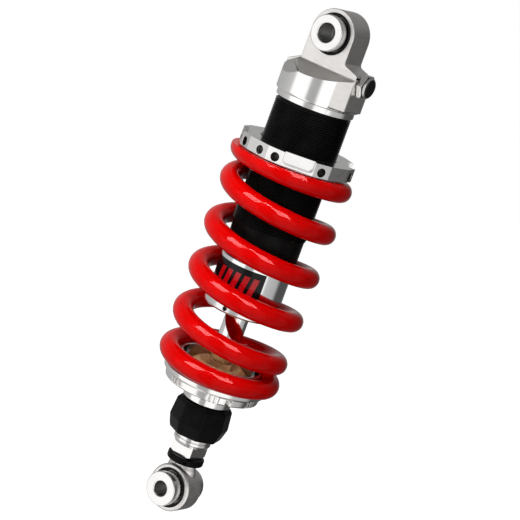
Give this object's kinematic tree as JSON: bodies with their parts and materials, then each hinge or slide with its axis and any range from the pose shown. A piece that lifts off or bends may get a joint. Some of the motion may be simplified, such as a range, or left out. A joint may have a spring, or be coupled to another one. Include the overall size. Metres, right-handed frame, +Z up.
{
  "type": "rear shock absorber",
  "caption": "Coil-over rear shock absorber with an eye at each end, threaded spring preload, rebound knob and adjustable length.",
  "frame": {"origin": "centre of the upper eye's bore, halfway across the eye", "axes": "+Z up along the damper's axis towards the upper eye, +Y along both eyes' bores, +X towards the gas valve"},
  "size_m": [0.083, 0.0827, 0.3485],
  "materials": {
    "cast_alloy": "satin, fine grain",
    "polished_alloy": "polished",
    "satin_alloy": "turned, satin",
    "chrome": "mirror",
    "steel": "ground",
    "dark_steel": "dark phosphated",
    "black_anodised": "black anodised, satin",
    "gloss_black": "gloss",
    "rubber": "matte",
    "bronze": "plain",
    "red_coat": "gloss powder coat",
    "urethane": "cellular urethane",
    "polymer": "filled polymer"
  },
  "bodies": {
    "damper_body": {"head_casting": "cast_alloy", "threaded_sleeve": "black_anodised", "damper_tube": "satin_alloy", "bottom_cap": "polished_alloy", "rod_guide": "satin_alloy", "rod_guide_o_ring": "rubber", "rod_guide_bush": "bronze", "rod_seal": "rubber", "rod_wiper": "rubber", "top_out_rubber": "rubber", "gas_valve_body": "satin_alloy", "gas_valve_core": "bronze", "upper_bearing_race": "steel", "upper_circlip_front": "dark_steel", "upper_circlip_back": "dark_steel", "upper_dust_seal_front": "rubber", "upper_dust_seal_back": "rubber", "spring": "red_coat"},
    "gas_cap": {"gas_valve_cap": "gloss_black"},
    "upper_ball": {"upper_bearing_ball": "chrome"},
    "upper_spacers": {"upper_spacer_front": "polished_alloy", "upper_spacer_back": "polished_alloy"},
    "separator": {"floating_piston": "satin_alloy", "floating_piston_o_ring": "rubber"},
    "preload_washer": {"thrust_washer": "steel"},
    "preload_nut": {"preload_ring": "polished_alloy", "lock_screw": "dark_steel"},
    "rod_assembly": {"piston_rod": "chrome", "piston": "satin_alloy", "piston_band": "polymer", "rebound_shims": "steel", "compression_shims": "steel", "piston_nut": "steel", "bump_stop": "urethane", "lower_spring_seat": "satin_alloy", "rod_end_fitting": "satin_alloy", "knob_detent_ball": "steel"},
    "knob": {"rebound_knob": "black_anodised"},
    "needle": {"rebound_needle": "steel"},
    "eye_nut": {"lock_nut": "black_anodised"},
    "lower_end": {"lower_eye": "cast_alloy", "lower_bearing_race": "steel", "lower_circlip_front": "dark_steel", "lower_circlip_back": "dark_steel", "lower_dust_seal_front": "rubber", "lower_dust_seal_back": "rubber"},
    "lower_ball": {"lower_bearing_ball": "chrome"},
    "lower_spacers": {"lower_spacer_front": "polished_alloy", "lower_spacer_back": "polished_alloy"}
  },
  "joints": [
    {"name": "compress", "type": "slide", "parent": "damper_body", "child": "rod_assembly", "axis": [0, 0, 1], "range_m": [0, 0.043], "stiffness_N_per_m": 90000, "deforming": ["spring", "bump_stop"]},
    {"name": "separator_travel", "type": "slide", "parent": "damper_body", "child": "separator", "axis": [0, 0, 1], "range_m": [0, 0.007]},
    {"name": "preload_travel", "type": "slide", "parent": "damper_body", "child": "preload_washer", "axis": [0, 0, -1], "range_m": [-0.0045, 0.009], "deforming": ["spring"]},
    {"name": "preload_turn", "type": "hinge", "parent": "preload_washer", "child": "preload_nut", "pos_m": [0, 0, -0.08], "axis": [0, 0, -1], "range_deg": [-1081, 2161]},
    {"name": "rebound_turn", "type": "hinge", "parent": "rod_assembly", "child": "knob", "pos_m": [0, 0, -0.265], "axis": [0, 0, 1], "range_deg": [-721, 721]},
    {"name": "needle_travel", "type": "slide", "parent": "rod_assembly", "child": "needle", "axis": [0, 0, 1], "range_m": [-0.001, 0.001]},
    {"name": "eye_turn", "type": "hinge", "parent": "rod_assembly", "child": "eye_nut", "pos_m": [0, 0, -0.295], "axis": [0, 0, -1], "range_deg": [-1, 2161]},
    {"name": "eye_extend", "type": "slide", "parent": "eye_nut", "child": "lower_end", "axis": [0, 0, -1], "range_m": [0, 0.009]},
    {"name": "upper_tilt", "type": "hinge", "parent": "damper_body", "child": "upper_ball", "pos_m": [0, 0, 0], "axis": [1, 0, 0], "range_deg": [-4, 4]},
    {"name": "upper_swing", "type": "hinge", "parent": "upper_ball", "child": "upper_spacers", "pos_m": [0, 0, 0], "axis": [0, 1, 0], "continuous": true},
    {"name": "lower_tilt", "type": "hinge", "parent": "lower_end", "child": "lower_ball", "pos_m": [0, 0, -0.3165], "axis": [1, 0, 0], "range_deg": [-4, 4]},
    {"name": "lower_swing", "type": "hinge", "parent": "lower_ball", "child": "lower_spacers", "pos_m": [0, 0, -0.3165], "axis": [0, 1, 0], "continuous": true},
    {"name": "cap_off", "type": "slide", "parent": "damper_body", "child": "gas_cap", "axis": [1, 0, 0], "range_m": [0, 0.008]}
  ],
  "couplings": [
    {"joint": "separator_travel", "follows": "compress", "ratio": 0.1522},
    {"joint": "preload_turn", "follows": "preload_travel", "rad_per_m": 4188.8},
    {"joint": "rebound_turn", "follows": "needle_travel", "rad_per_m": 12566},
    {"joint": "eye_turn", "follows": "eye_extend", "rad_per_m": 4188.8}
  ]
}
